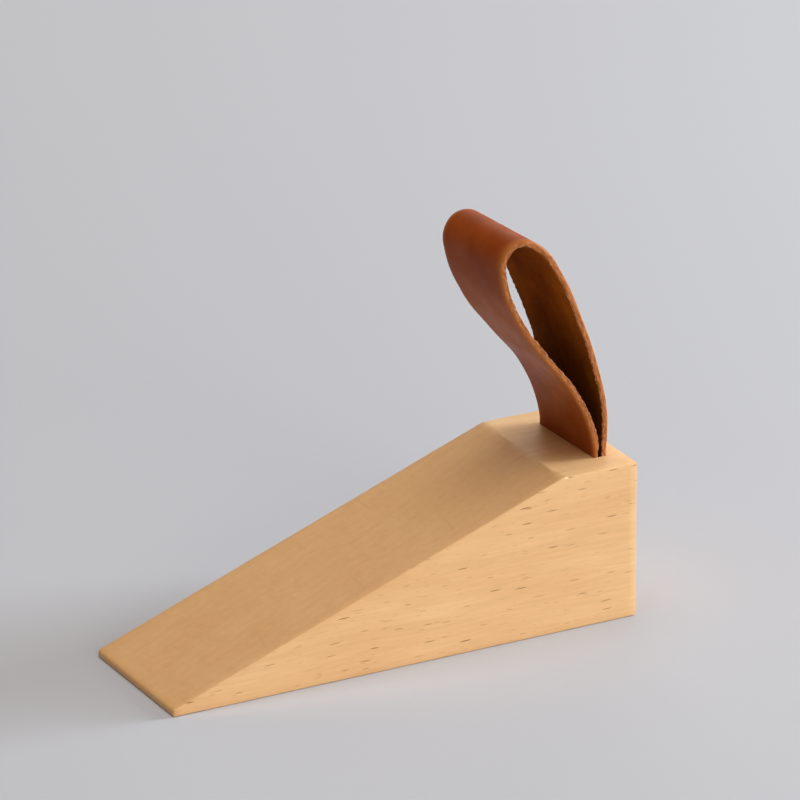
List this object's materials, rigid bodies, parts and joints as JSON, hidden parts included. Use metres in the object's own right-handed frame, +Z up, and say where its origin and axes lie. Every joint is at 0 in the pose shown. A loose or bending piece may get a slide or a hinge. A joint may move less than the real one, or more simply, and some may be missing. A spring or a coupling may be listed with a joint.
{
  "type": "door stop",
  "caption": "Wooden wedge door stop with a short flat top and a folded leather strap loop standing in a slot behind the ramp.",
  "frame": {"origin": "centre of the flat base that stands on the floor", "axes": "+X from the thin nose to the tall heel, +Y across the wedge, +Z up"},
  "size_m": [0.125, 0.04, 0.0994],
  "materials": {
    "beech": "fine-sanded beech with a thin matt oil",
    "leather": "smooth vegetable-tanned grain side, cognac brown, satin, with raw cut edges",
    "glue": "dried wood glue"
  },
  "bodies": {
    "block": {"wedge_block": "beech", "glue_bed": "glue", "strap_front_tail": "leather", "strap_back_tail": "leather"},
    "loop": {"strap_loop": "leather"}
  },
  "joints": [
    {"name": "loop_flex", "type": "hinge", "parent": "block", "child": "loop", "pos_m": [0.0565, 0, 0.0442], "axis": [0, 1, 0], "range_deg": [-60, 75], "stiffness_Nm_per_rad": 0.1}
  ]
}
